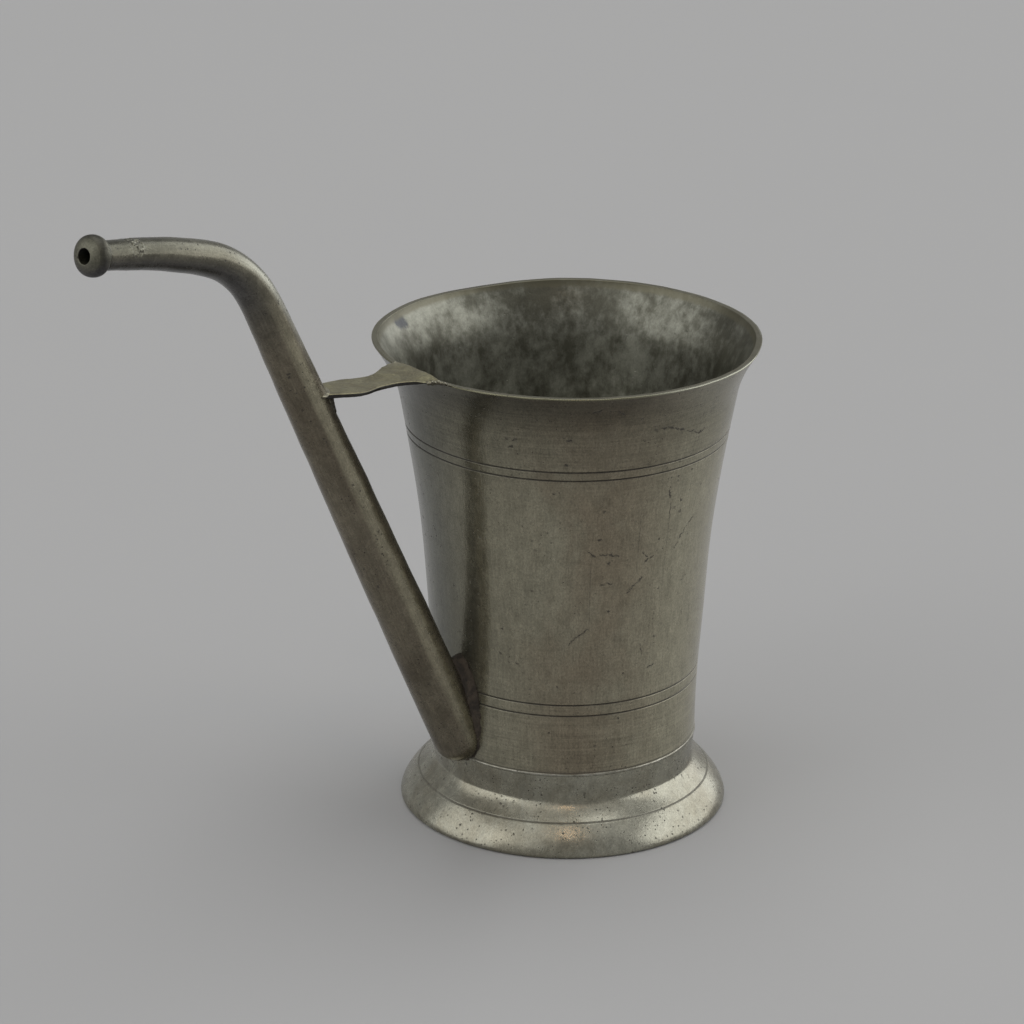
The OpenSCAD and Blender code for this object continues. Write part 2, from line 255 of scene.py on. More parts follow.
# Remeshes the object in even small cells and rounds it
def even_out(obj, voxel, rounds):
    remesh = obj.modifiers.new("remesh", "REMESH")
    remesh.mode = "VOXEL"
    remesh.voxel_size = voxel * MM
    soft = obj.modifiers.new("soft", "SMOOTH")
    soft.factor = 0.5
    soft.iterations = rounds
    keep_evaluated(obj)
    smooth(obj, 60)


# Solder that has run together: overlapping drops given as (x, y, z, radii along the three axes)
def run_solder(name, drops, voxel, rounds, height, size, seed):
    form = bmesh.new()
    for x, y, z, rx, ry, rz in drops:
        stretch = Matrix.Diagonal((rx * MM, ry * MM, rz * MM, 1.0))
        place = Matrix.Translation((x * MM, y * MM, z * MM)) @ stretch
        bmesh.ops.create_icosphere(form, subdivisions=3, radius=1.0, matrix=place)
    mesh = bpy.data.meshes.new(name)
    form.to_mesh(mesh)
    form.free()
    obj = add(name, mesh)
    even_out(obj, voxel, rounds)
    roughen(obj, height, size, seed, height * 0.5)
    return obj


# Gives a finished piece its material, hangs it under the root body and hides the solids that it stands for
def done(obj, nodes, look):
    obj.data.materials.clear()
    obj.data.materials.append(look)
    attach(obj, "root")
    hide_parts(*nodes)


# Shader nodes of one material, which follow the mesh's flow if mapped, and otherwise its own axes
class Look:
    def __init__(self, name, mapped=True):
        self.material = bpy.data.materials.new(name)
        self.material.use_nodes = True
        self.tree = self.material.node_tree
        self.tree.nodes.clear()
        self.shader = self.node("BsdfPrincipled")
        out = self.node("OutputMaterial")
        self.link(self.shader.outputs[0], out.inputs[0])
        if mapped:
            self.flow = self.read("flow").outputs["Vector"]
        else:
            place = self.node("TexCoord")
            self.flow = self.vector("SCALE", place.outputs["Object"], factor=1000.0)

    # New node with values or links for the inputs that are named, _ standing for a space
    def node(self, kind, **inputs):
        n = self.tree.nodes.new("ShaderNode" + kind)
        for name, value in inputs.items():
            self.link(value, n.inputs[name.replace("_", " ")])
        return n

    def link(self, source, target):
        if hasattr(source, "is_output"):
            self.tree.links.new(source, target)
        else:
            target.default_value = source

    def read(self, name):
        n = self.node("Attribute")
        n.attribute_name = name
        return n

    # Mask that was set on the mesh
    def mask(self, name):
        return self.read(name).outputs["Fac"]

    def math(self, operation, a, b=0.0, clamp=False):
        n = self.node("Math")
        n.operation = operation
        n.use_clamp = clamp
        self.link(a, n.inputs[0])
        self.link(b, n.inputs[1])
        return n.outputs[0]

    def plus(self, first, *rest, clamp=False):
        for value in rest:
            first = self.math("ADD", first, value, clamp)
        return first

    def less(self, a, b, clamp=False):
        return self.math("SUBTRACT", a, b, clamp)

    def times(self, a, b, clamp=False):
        return self.math("MULTIPLY", a, b, clamp)

    def flip(self, value):
        return self.less(1.0, value)

    def most(self, a, b, clamp=False):
        return self.math("MAXIMUM", a, b, clamp)

    # How far value is from middle
    def gap(self, value, middle):
        return self.math("ABSOLUTE", self.less(value, middle))

    def vector(self, operation, a, b=(0, 0, 0), factor=1.0):
        n = self.node("VectorMath")
        n.operation = operation
        self.link(a, n.inputs[0])
        if operation == "SCALE":
            self.link(factor, n.inputs["Scale"])
        else:
            self.link(b, n.inputs[1])
        single = operation in ("DOT_PRODUCT", "DISTANCE")
        return n.outputs["Value"] if single else n.outputs["Vector"]

    # Value moved from the range low to high onto 0 to 1, eased at both ends
    def band(self, value, low, high):
        n = self.node("MapRange", Value=value, From_Min=low, From_Max=high)
        n.interpolation_type = "SMOOTHSTEP"
        return n.outputs["Result"]

    # The other way round: 1 up to low, falling to 0 at high
    def fall(self, value, low, high):
        return self.flip(self.band(value, low, high))

    # Value moved from 0 to 1 onto the range low to high
    def between(self, value, low, high):
        n = self.node("MapRange", Value=value, To_Min=low, To_Max=high)
        n.clamp = False
        return n.outputs["Result"]

    # Noise whose features are about size millimetres across, stretched along the flow
    def noise(self, size, detail, rough, along=1.0, shift=0.0, warp=0.0):
        scale = self.vector("MULTIPLY", self.flow, (1 / size, 1 / size, 1 / (size * along)))
        moved = self.vector("ADD", scale, (shift, shift * 1.7, shift * 0.6))
        n = self.node("TexNoise", Vector=moved, Scale=1.0, Detail=detail, Roughness=rough, Distortion=warp)
        return n.outputs["Fac"]

    # Noise in three directions, to put a place out of true
    def shake(self, place, scale):
        return self.node("TexNoise", Vector=place, Scale=scale, Detail=2.0).outputs["Color"]

    # Small uneven pits in a share of the cells of the given size, 1 at their middle
    def pits(self, size, share, reach, shift):
        scale = self.vector("MULTIPLY", self.flow, (1 / size, 1 / size, 1 / size))
        moved = self.vector("ADD", scale, (shift, shift * 1.3, shift * 0.7))
        shake = self.vector("SCALE", self.shake(moved, 3.0), factor=0.45)
        n = self.node("TexVoronoi", Vector=self.vector("ADD", moved, shake), Scale=1.0)
        chosen = self.node("SeparateColor", Color=n.outputs["Color"])
        pick = self.less(share, chosen.outputs[0])
        pick = self.math("DIVIDE", pick, share, clamp=True)
        room = self.times(self.math("POWER", pick, 0.6), reach)
        return self.band(self.less(room, n.outputs["Distance"]), 0.0, 0.10)

    def mix(self, factor, a, b):
        n = self.node("Mix")
        n.data_type = "RGBA"
        self.link(factor, n.inputs[0])
        for value, socket in ((a, n.inputs[6]), (b, n.inputs[7])):
            self.link((*value, 1.0) if isinstance(value, tuple) else value, socket)
        return n.outputs[2]

    # Distance in millimetres from a place to the nearest of some line segments
    def near(self, place, segments):
        best = None
        for ax, ay, bx, by in segments:
            way = (bx - ax, by - ay, 0.0)
            size = way[0] ** 2 + way[1] ** 2 + 1e-6
            start = self.vector("SUBTRACT", place, (ax, ay, 0.0))
            share = self.vector("DOT_PRODUCT", start, (way[0] / size, way[1] / size, 0.0))
            share = self.plus(share, 0.0, clamp=True)
            foot = self.vector("SCALE", way, factor=share)
            gap = self.vector("DISTANCE", start, foot)
            best = gap if best is None else self.math("MINIMUM", best, gap)
        return best

    # Sets what the surface shows; its height is in millimetres
    def finish(self, colour, metallic, roughness, height=None):
        for name, value in (("Base Color", colour), ("Metallic", metallic), ("Roughness", roughness)):
            self.link(value, self.shader.inputs[name])
        if height is not None:
            bump = self.node("Bump", Strength=1.0, Distance=MM, Height=height)
            self.link(bump.outputs[0], self.shader.inputs["Normal"])
        return self.material


# Marks seen on the drum: angle in degrees and height in millimetres of the ends of each stroke
SCRATCHES = (
    (-97.7, 102.9, -94.2, 102.5), (-94.2, 102.5, -89.2, 101.3), (-89.2, 101.3, -84.4, 100.2),
    (-84.4, 100.2, -80.1, 98.9), (-80.1, 98.9, -77.3, 99.4),
    (-149.9, 98.8, -148.5, 99.3), (-148.2, 100.8, -147.0, 101.2),
    (-122.1, 109.1, -119.5, 109.7), (-114.4, 109.0, -112.7, 108.3),
    (-90.1, 86.9, -89.8, 84.4), (-89.1, 82.7, -88.7, 79.4),
    (-74.3, 77.7, -80.5, 74.2), (-80.5, 74.2, -84.3, 71.1),
    (-121.3, 73.4, -118.8, 72.3), (-116.7, 72.7, -113.9, 72.5), (-113.9, 72.5, -109.4, 71.9),
    (-99.5, 71.9, -97.4, 70.8), (-98.1, 69.7, -94.7, 70.4),
    (-98.9, 65.6, -102.2, 64.1), (-102.2, 64.1, -104.7, 62.3),
    (-111.8, 65.2, -116.1, 65.0), (-121.1, 54.2, -124.9, 52.2), (-124.9, 52.2, -128.0, 50.5),
    (-97.3, 48.7, -96.5, 46.2), (-92.5, 42.4, -89.9, 42.6),
)
# Faint straight hairlines beside them
HAIRLINES = ((-101.7, 81.0, -101.5, 67.6), (-88.7, 79.4, -88.4, 53.8), (-120.3, 71.3, -120.2, 55.8))
SPOTS = (
    (-117.4, 76.4), (-113.3, 70.3), (-149.6, 44.7), (-104.6, 42.1), (-132.6, 39.8), (-106.3, 31.1),
    (-135.8, 28.2), (-108.4, 24.1), (-83.8, 82.9), (-90.5, 61.9), (-77.2, 61.7), (-130.0, 95.4),
    (-156.0, 52.8), (-112.6, 58.2), (-92.6, 74.5), (-129.2, 101.5), (-134.5, 88.1), (-80.0, 90.0),
)
BLUE_STAIN = ((117.4, 110.6, 119.8, 110.9),)
# Direction that the photograph's side of the drum faces, and the drum's radius where marks are measured
FACING = 231.0
MARK_R = 36.5

# Colours of the drum outside and inside, of dirt, of painted light and shade, and of the spout's worn and
# dull places
OLIVE = (0.288, 0.272, 0.202)
BROWN_STAIN_AND_SHADE = (0.228, 0.194, 0.138)
COOL_SPOUT_SHADE = (0.128, 0.133, 0.118)
LIP_PAINTED_DARK = (0.190, 0.182, 0.118)
LIP_PAINTED_LIT = (0.36, 0.36, 0.29)
TARNISH_DARK = (0.086, 0.084, 0.062)
TARNISH_LIGHT = (0.262, 0.264, 0.218)
BLUE = (0.030, 0.034, 0.048)
RIM_BROWN = (0.135, 0.126, 0.083)
DRUM_DIRT = (0.030, 0.026, 0.021)
DIRT = (0.033, 0.029, 0.024)
STRAP_EDGE_SHADE = (0.022, 0.021, 0.024)
SPOUT_DULL = (0.146, 0.142, 0.108)
SPOUT_PAINTED_TOP_LIGHT = (0.174, 0.171, 0.130)
SPOUT_PAINTED_END_SHADE = (0.060, 0.059, 0.043)
SPOUT_BEND_HIGHLIGHT = (0.36, 0.36, 0.30)
SPOUT_SIDE_HIGHLIGHT = (0.28, 0.258, 0.185)
SPOUT_WORN_AND_HIGHLIGHT = (0.27, 0.268, 0.215)
SPOUT_UNDER_SHADE = (0.062, 0.060, 0.064)
BULB_DULL = (0.135, 0.132, 0.100)
BULB_SIDE_SHADE = (0.050, 0.048, 0.038)


# Angle round Z in degrees, zero on the side that the photograph shows and with its seam opposite
def turn_of(look):
    c = math.cos(math.radians(FACING))
    s = math.sin(math.radians(FACING))
    ahead = look.vector("DOT_PRODUCT", look.flow, (c, s, 0.0))
    across = look.vector("DOT_PRODUCT", look.flow, (-s, c, 0.0))
    turn = look.math("ARCTAN2", across, ahead)
    return look.times(turn, 360 / TAU)


def height_of(look):
    return look.node("SeparateXYZ", Vector=look.flow).outputs[2]


# Strokes and spots as (stretched angle, height) in millimetres for the look's near()
def strokes(rows):
    k = MARK_R * TAU / 360
    made = []
    for row in rows:
        pair = row if len(row) == 4 else (*row, row[0] + 0.2, row[1])
        turns = [(pair[i] - FACING + 180) % 360 - 180 for i in (0, 2)]
        made.append((turns[0] * k, pair[1], turns[1] * k, pair[3]))
    return made


# Share of a dirty line at each of the given heights
def dirt_lines(look, z, marks, half):
    best = None
    for mark in marks:
        gap = look.gap(z, mark)
        best = gap if best is None else look.math("MINIMUM", best, gap)
    return look.fall(best, half * 0.45, half * 1.25)


# Outside: olive grey with brown stain clouds in front that are partly painted darker reflection, darker and
# cooler towards the spout as painted shade, ringed near the turned lines, with painted shade towards and
# under the lip, a painted lighter right side and painted light and shade on the lip
def drum_outside(look, turn, z, shade):
    cloud = look.noise(24.0, 3.0, 0.6, 1.4, 3.1, 0.4)
    # Brown stain clouds on the side facing the camera, partly painted darker reflection
    front = look.fall(look.gap(turn, 9.0), 4.0, 42.0)
    stain_and_front_shade = look.times(front, look.band(cloud, 0.28, 0.60))
    colour = look.mix(look.times(stain_and_front_shade, 0.9), OLIVE, BROWN_STAIN_AND_SHADE)
    # Darker cool tone towards the spout: painted shade from the spout, with a cool tint
    left = look.times(look.fall(turn, -66.0, -30.0), look.band(turn, -170.0, -105.0))
    colour = look.mix(look.times(left, 0.8), colour, COOL_SPOUT_SHADE)
    rings = look.between(look.noise(1 / 0.06, 3.0, 0.5, 0.06 / 2.6), -0.35, 0.35)
    ends = look.band(look.gap(z, 62.0), 18.0, 36.0)
    shade = look.plus(shade, look.times(rings, look.between(ends, 0.3, 1.0)))
    # Darker towards the lip: painted shade
    shade = look.times(shade, look.between(look.band(z, 80.0, 108.0), 1.0, 0.66))
    near_side = look.fall(look.math("ABSOLUTE", turn), 105.0, 170.0)
    # Right side lighter: painted light
    right = look.times(look.band(turn, 10.0, 62.0), near_side)
    shade = look.times(shade, look.between(right, 1.0, 1.34))
    # Darker under the lip in front: painted shade
    under_lip_shade = look.times(look.fall(turn, 16.0, 42.0), near_side)
    under_lip_shade = look.times(under_lip_shade, look.band(z, 102.0, 110.0))
    shade = look.times(shade, look.between(under_lip_shade, 1.0, 0.62))
    tone = look.vector("SCALE", colour, factor=shade)
    # Lip lighter on its right and darker elsewhere: painted light and shade
    lip = look.mix(look.times(look.band(turn, 12.0, 40.0), near_side), LIP_PAINTED_DARK, LIP_PAINTED_LIT)
    return look.mix(look.times(look.band(z, 112.4, 112.8), 0.85), tone, lip)


# Scratches and hairlines that the photograph shows, spots, pits and the dirt in the turned lines
def drum_marks(look, straight, shaken, z, holes):
    hair = look.fall(look.near(straight, strokes(HAIRLINES)), 0.03, 0.17)
    broken = look.band(look.noise(0.8, 2.0, 0.6, 1.0, 4.4), 0.32, 0.50)
    cut = look.fall(look.near(shaken, strokes(SCRATCHES)), 0.07, 0.32)
    cut = look.times(look.most(cut, look.times(hair, 0.5)), broken)
    spots = look.fall(look.near(shaken, strokes(SPOTS)), 0.1, 0.42)
    lines = look.between(look.noise(3.0, 2.0, 0.6, 1.0, 17.0), 0.75, 1.2)
    lines = look.times(dirt_lines(look, z, LINES, 0.24), lines)
    above_bead = look.times(dirt_lines(look, z, (FOOT_H + 0.66,), 0.20), 0.75)
    lines = look.most(lines, above_bead)
    dark = look.most(look.most(cut, spots), look.times(holes, 0.7))
    return look.most(dark, lines, clamp=True)


# Inside: blotched tarnish with painted shade, darkest across from the camera's side and at its right end,
# and at its left end painted light near the rim with painted shade below
def drum_inside(look, turn, z, shaken, speck, mottle):
    big = look.noise(8.0, 4.0, 0.62, 1.2, 21.0)
    small = look.noise(2.2, 4.0, 0.64, 1.3, 27.0)
    streak = look.noise(1.1, 3.0, 0.6, 6.0, 31.0)
    tarnish_and_shade = look.plus(look.times(big, 0.54), look.times(small, 0.38), look.times(streak, 0.08))
    far = math.radians(FACING - 174)
    across = look.vector("DOT_PRODUCT", look.flow, (math.cos(far), math.sin(far), 0.0))
    # Far wall darker: painted shade
    tarnish_and_shade = look.less(tarnish_and_shade, look.times(look.band(across, 33.0, 40.0), 0.12))
    # Right end darker: painted shade
    right_end_shade = look.fall(look.gap(turn, 102.0), 10.0, 56.0)
    tarnish_and_shade = look.less(tarnish_and_shade, look.times(right_end_shade, 0.09))
    # Left end: painted light near the rim, painted shade lower down
    left_end = look.fall(look.gap(turn, -118.0), 10.0, 30.0)
    clear = look.times(left_end, look.between(look.band(z, 106.5, 110.0), -0.07, 0.06))
    tarnish_and_shade = look.plus(tarnish_and_shade, clear)
    tone = look.mix(look.band(tarnish_and_shade, 0.34, 0.62), TARNISH_DARK, TARNISH_LIGHT)
    fine = look.plus(look.between(speck, 0.70, 1.30), look.between(mottle, -0.28, 0.28))
    fine = look.times(fine, look.between(look.band(z, 82.0, 95.0), 1.35, 1.0))
    tone = look.vector("SCALE", tone, factor=fine)
    blue = look.fall(look.near(shaken, strokes(BLUE_STAIN)), 0.8, 2.0)
    tone = look.mix(look.times(blue, 0.8), tone, BLUE)
    rim = look.band(look.plus(z, look.between(mottle, -0.5, 0.5)), 110.9, 111.9)
    return look.mix(look.times(rim, 0.75), tone, RIM_BROWN)


def drum_look():
    look = Look("drum_pewter")
    turn = turn_of(look)
    z = height_of(look)
    inside = look.mask("inside")
    mottle = look.noise(3.4, 4.0, 0.66, 1.2, 7.7, 0.5)
    speck = look.noise(0.36, 2.0, 0.6, 1.4, 1.3)
    grain = look.noise(0.5, 3.0, 0.6, 12.0, 5.2)
    wide = look.noise(2.6, 2.0, 0.5, 20.0, 9.4)
    shade = look.plus(look.between(mottle, 0.74, 1.26), look.between(speck, -0.50, 0.50),
                      look.between(grain, -0.30, 0.30), look.between(wide, -0.10, 0.10))
    tone = drum_outside(look, turn, z, shade)
    # Places on the unrolled drum in millimetres, true and shaken
    straight = look.node("CombineXYZ", X=look.times(turn, MARK_R * TAU / 360), Y=z).outputs[0]
    shake = look.vector("SUBTRACT", look.shake(look.flow, 1.1), (0.5, 0.5, 0.5))
    shaken = look.vector("ADD", straight, look.vector("MULTIPLY", shake, (1.5, 1.5, 0.0)))
    holes = look.most(look.pits(2.2, 0.30, 0.26, 2.0), look.pits(0.9, 0.30, 0.34, 6.0))
    holes = look.times(holes, look.band(look.noise(9.0, 2.0, 0.5, 1.0, 14.0), 0.40, 0.60))
    dark = look.times(drum_marks(look, straight, shaken, z, holes), look.flip(inside))
    outer = look.mix(look.times(dark, 0.88), tone, DRUM_DIRT)
    colour = look.mix(inside, outer, drum_inside(look, turn, z, shaken, speck, mottle))
    metallic = look.less(look.between(mottle, 0.84, 0.64), look.times(dark, 0.5))
    metallic = look.less(metallic, look.times(inside, 0.10), clamp=True)
    rough = look.plus(look.between(mottle, 0.14, 0.28), look.between(grain, -0.04, 0.04),
                      look.times(dark, 0.35))
    rough = look.plus(rough, look.times(inside, 0.16), clamp=True)
    height = look.plus(look.times(speck, 0.012), look.times(grain, 0.014),
                       look.times(mottle, 0.030), look.times(wide, 0.035))
    return look.finish(colour, metallic, rough, look.less(height, look.times(holes, 0.03)))


# Spout: painted highlights on the bend and along one side, a lighter painted top, dull beyond, painted
# shade beneath and on the sides near its end; worn solder and a painted highlight on the mouthpiece's neck,
# painted shade round the bulb
def spout_wear(look, colour, normal, up, cloud, speck, tip):
    s = height_of(look)
    beyond = look.band(s, 112.0, 140.0)
    colour = look.mix(look.times(beyond, 0.7), colour, SPOUT_DULL)
    # Upward faces take a lighter tone: painted light from above
    colour = look.mix(look.times(look.band(up, 0.15, 0.80), 0.8), colour, SPOUT_PAINTED_TOP_LIGHT)
    # Sides near the end darker: painted shade
    end = look.times(look.band(s, 154.0, 168.0), look.band(up, -0.1, 0.4))
    colour = look.mix(look.times(end, 0.62), colour, SPOUT_PAINTED_END_SHADE)
    # Painted highlight on the bend's upper side
    bend_highlight = look.times(look.band(s, 106.0, 126.0), look.fall(s, 134.0, 148.0))
    bend_highlight = look.times(bend_highlight, look.band(up, 0.12, 0.44))
    bend_highlight = look.times(bend_highlight, look.between(cloud, 0.5, 1.3), clamp=True)
    colour = look.mix(bend_highlight, colour, SPOUT_BEND_HIGHLIGHT)
    # Band along one side: painted highlight
    side_highlight = look.vector("DOT_PRODUCT", normal, (0.09, -0.996, 0.0))
    side_highlight = look.times(look.band(side_highlight, 0.91, 0.99), look.flip(beyond))
    side_highlight = look.times(side_highlight, look.between(cloud, 0.4, 1.3), clamp=True)
    colour = look.mix(side_highlight, colour, SPOUT_SIDE_HIGHLIGHT)
    # Lighter worn solder, and a painted highlight on the mouthpiece's neck
    worn_and_highlight = look.times(look.mask("worn_and_highlight"), look.band(speck, 0.42, 0.60))
    colour = look.mix(worn_and_highlight, colour, SPOUT_WORN_AND_HIGHLIGHT)
    colour = look.mix(look.times(tip, 0.75), colour, BULB_DULL)
    # Darker band round the bulb: painted shade
    colour = look.mix(look.mask("bulb_side_shade"), colour, BULB_SIDE_SHADE)
    # Underside darker beyond the straight: painted shade
    low = look.times(look.fall(up, -0.55, 0.25), look.times(beyond, 0.8))
    return look.mix(low, colour, SPOUT_UNDER_SHADE)


# Other pewter: two tones in blotches, specks, pits and grain along the flow
def pewter_look(name, light, deep, patch, rough, metal, pit=0.3, grain_long=1.0, mapped=True,
                shift=0.0, contrast=1.0, bump=1.0, lines=(), side="", under=STRAP_EDGE_SHADE):
    look = Look(name, mapped)
    cloud = look.noise(patch, 4.0, 0.62, 1.6, 2.0 + shift, 0.5)
    mottle = look.noise(patch / 5, 3.0, 0.6, 1.2, 8.0 + shift, 0.4)
    speck = look.noise(0.36, 2.0, 0.6, 1.3, 1.0 + shift)
    grain = look.noise(0.5, 3.0, 0.6, grain_long, 5.0 + shift)
    colour = look.mix(look.band(cloud, 0.34, 0.66), light, deep)
    normal = look.node("TexCoord").outputs["Normal"]
    up = look.node("SeparateXYZ", Vector=normal).outputs[2]
    tip = look.mask("tip") if side == "spout" else None
    if side == "spout":
        colour = spout_wear(look, colour, normal, up, cloud, speck, tip)
    if side == "strap":
        # Edges and underside darker: painted shade
        low = look.fall(up, 0.40, 0.86)
        colour = look.mix(look.times(low, 0.92), colour, under)
    shade = look.plus(look.between(mottle, 1 - 0.3 * contrast, 1 + 0.3 * contrast),
                      look.between(speck, -0.45 * contrast, 0.45 * contrast),
                      look.between(grain, -0.34 * contrast, 0.34 * contrast))
    tone = look.vector("SCALE", colour, factor=shade)
    holes = look.most(look.pits(1.9, pit, 0.24, 3.0 + shift), look.pits(0.8, pit, 0.36, 7.0 + shift))
    holes = look.times(holes, look.band(look.noise(7.0, 2.0, 0.5, 1.0, 14.0 + shift), 0.36, 0.58))
    dark = holes
    if lines:
        dirt = dirt_lines(look, height_of(look), lines, 0.17)
        dark = look.most(holes, look.times(dirt, look.between(mottle, 0.4, 1.0)))
    colour = look.mix(look.times(dark, 0.8), tone, DIRT)
    roughness = look.between(mottle, rough - 0.07, rough + 0.09)
    roughness = look.plus(roughness, look.times(dark, 0.3), clamp=True)
    if tip is not None:
        roughness = look.plus(roughness, look.times(tip, 0.16), clamp=True)
    metallic = look.less(look.between(mottle, metal + 0.1, metal - 0.1), look.times(dark, 0.4), clamp=True)
    height = look.plus(look.times(speck, 0.014 * bump), look.times(grain, 0.014 * bump),
                       look.times(mottle, 0.035 * bump))
    return look.finish(colour, metallic, roughness, look.less(height, look.times(holes, 0.04 * bump)))


# Share from 0 to 1, eased at both ends
def ease(u):
    return u * u * (3 - 2 * u)


# Radius of the drum's outside
def drum_r(z):
    up = np.maximum(0, z - FOOT_H) / (RIM_Z - FOOT_H)
    lip = np.maximum(0, z - LIP_Z) / LIP_H
    return DRUM_R0 + DRUM_FLARE * up ** DRUM_CURVE + LIP_FLARE * lip ** LIP_CURVE


# Thickness of the drum's wall
def wall(z):
    return WALL_FOOT + (WALL_LIP - WALL_FOOT) * (z - FOOT_H) / (RIM_Z - FOOT_H)


# Heights from low to high, closer together round each of the given marks
def heights(low, high, step, marks, fine=0.07):
    reach = 0.5
    found = list(np.arange(low, high, step)) + [high]
    for mark in marks:
        found = [z for z in found if abs(z - mark) > reach]
        found += list(np.arange(mark - reach, mark + reach + fine / 2, fine))
    return np.array(sorted(z for z in found if low <= z <= high))


# Depth of the turned lines at each height
def groove(z, marks, width, depth):
    return sum(depth * hump(z, mark, width) for mark in marks)


# Flared drum with its turned lines, rolled lip edge and the drain port
def cup_drum():
    up = heights(FOOT_H + 0.12, RIM_Z, 1.3, LINES)
    outer = np.stack([drum_r(up) - groove(up, LINES, 0.15, 0.26), up], 1)
    a = np.radians(np.linspace(10, 80, 6))
    mid = RIM_Z + 0.04
    edge = [[RIM_R - LIP_ROLL + LIP_ROLL * np.cos(b), mid + LIP_ROLL * np.sin(b)] for b in a]
    edge += [[RIM_R - 0.55, LIP_TOP - 0.03], [RIM_R - 0.80, LIP_TOP - 0.07], [RIM_R - 1.05, LIP_TOP - 0.02]]
    edge += [[RIM_R - 1.28 - 0.22 * np.cos(b), mid + 0.24 * np.sin(b)] for b in a[::-1]]
    down = heights(FOOT_H, RIM_Z - 0.1, 1.4, ())[::-1]
    bead = 0.30 * ramp(down, RIM_Z - 1.8, 1.8) ** 2
    inner = np.stack([drum_r(down) - wall(down) - bead, down], 1)
    start = [[DRUM_R0 - 0.35, FOOT_H], [DRUM_R0 - 0.1, FOOT_H + 0.02]]
    points, faces = turned(np.concatenate([start, outer, edge, inner]))
    z = points[:, 2]
    turn = angles(points)
    dent = hump(turn, 141, 20) - 0.35 * hump(turn, 98, 18) - 0.7 * hump(turn, -50, 13)
    sag = 0.05 * lumps(points, 16, 11) * ramp(z, 24, 20)
    sag = sag + 0.6 * dent * ease(ramp(z, 98, 15))
    sag = sag + 0.4 * hump(turn, -39, 28) * hump(z, 47, 13)
    nick = 0.035 * np.abs(lumps(points, 5.0, 12)) * ramp(z, 111.8, 1.0)
    nick = nick + 0.55 * hump(turn, 80, 18) * ease(ramp(z, 100, 12))
    widen(points, sag)
    points[:, 2] -= nick
    obj = make("cup_drum_turned", points, faces, 30)
    a = np.arange(48) * TAU / 48
    ring = np.stack([0 * a, PORT_R * np.cos(a), PORT_Z + PORT_R * np.sin(a)], 1)
    tool = make("port_tool", np.concatenate([ring - [33.5, 0, 0], ring - [26, 0, 0]]),
                ring_faces(2, 48, False))
    carve(obj, tool)
    points = points_of(obj)
    middle = drum_r(points[:, 2]) - wall(points[:, 2]) / 2
    set_flow(obj, points)
    set_mask(obj, "inside", (radii(points) < middle) * 1.0)
    smooth(obj, 30)
    done(obj, ["cup_drum"], drum_look())


# Radius of the foot's outside, widest at the worn edge
def foot_at(z):
    hollow = np.clip((FOOT_NECK_Z - z) / (FOOT_NECK_Z - FOOT_LINE_Z), 0, None)
    swell = np.clip((z - SHOWN_EDGE) / (FOOT_LINE_Z - SHOWN_EDGE), 0, None)
    upper = FOOT_NECK_R + (FOOT_LINE_R - FOOT_NECK_R) * hollow ** 1.4
    lower = FOOT_LINE_R + (FOOT_R - FOOT_LINE_R) * (1 - swell ** 1.5)
    return np.where(z > FOOT_LINE_Z, upper, lower)


# Moulded foot with its turned line, rounded edge and spigot
def foot():
    up = heights(SHOWN_EDGE, FOOT_NECK_Z + 0.4, 0.22, (FOOT_LINE_Z,), 0.06)
    outer = np.stack([foot_at(up) - groove(up, (FOOT_LINE_Z,), 0.12, 0.17), up], 1)
    a = np.radians(np.linspace(-90, 0, 8))[:-1]
    edge = np.stack([FOOT_R - FOOT_ROUND + FOOT_ROUND * np.cos(a), SHOWN_EDGE * (1 + np.sin(a))], 1)
    neck = np.array([[FOOT_NECK_R, 12.0], [FOOT_NECK_R + 0.1, 13.6], [FOOT_NECK_R + 0.25, 15.4],
                     [DRUM_R0 - 0.03, 16.8], [DRUM_R0 - 0.05, 17.3], [DRUM_R0 - 0.2, FOOT_H],
                     [SPIGOT_R, FOOT_H], [SPIGOT_R, SPIGOT_TOP],
                     [SPIGOT_IN, SPIGOT_TOP], [SPIGOT_IN, 11.6]])
    down = np.arange(9.6, 0.1, -0.6)
    under = np.stack([foot_at(np.maximum(down, FOOT_EDGE)) - FOOT_WALL, down], 1)
    start = [[FOOT_R - FOOT_ROUND - FOOT_WALL, 0.0]]
    points, faces = turned(np.concatenate([start, edge, outer, neck, under]))
    free = ramp(points[:, 2], 0.2, 1.2) * (1 - ramp(points[:, 2], 13.5, 3.0))
    widen(points, 0.03 * lumps(points, 7, 21) * free)
    obj = make("foot_cast", points, faces, 30)
    set_flow(obj, points)
    look = pewter_look("foot_pewter", (0.346, 0.339, 0.276), (0.270, 0.254, 0.196), 11.0, 0.25, 0.85,
                       pit=0.75, shift=40.0, contrast=0.85, bump=0.8, lines=(FOOT_LINE_Z,))
    done(obj, ["foot"], look)


# Angle of the spout's axis above level at distance s along it, in radians
def rise(s):
    b = ease(ramp(s, STRAIGHT, BEND))
    top = ramp(s, STRAIGHT + BEND, TOP_RUN - SHANK)
    return np.radians((90 - LEAN) * (1 - b) + RISE_BEND * b + (RISE_TIP - RISE_BEND) * top)


# Angle of the spout's axis round Z, in radians
def bearing(s):
    return np.radians(180 + VEER * ease(ramp(s, STRAIGHT, BEND)))


def heading(s):
    up = rise(s)
    way = bearing(s)
    return np.stack([np.cos(up) * np.cos(way), np.cos(up) * np.sin(way), np.sin(up)], -1)


def sideways(s):
    way = bearing(s)
    return np.stack([-np.sin(way), np.cos(way), 0 * way], -1)


def tube_r(s):
    return TUBE_TIP_R + (TUBE_ROOT_R - TUBE_TIP_R) * (1 - np.clip(s / SPOUT, 0, 1) ** TAPER)


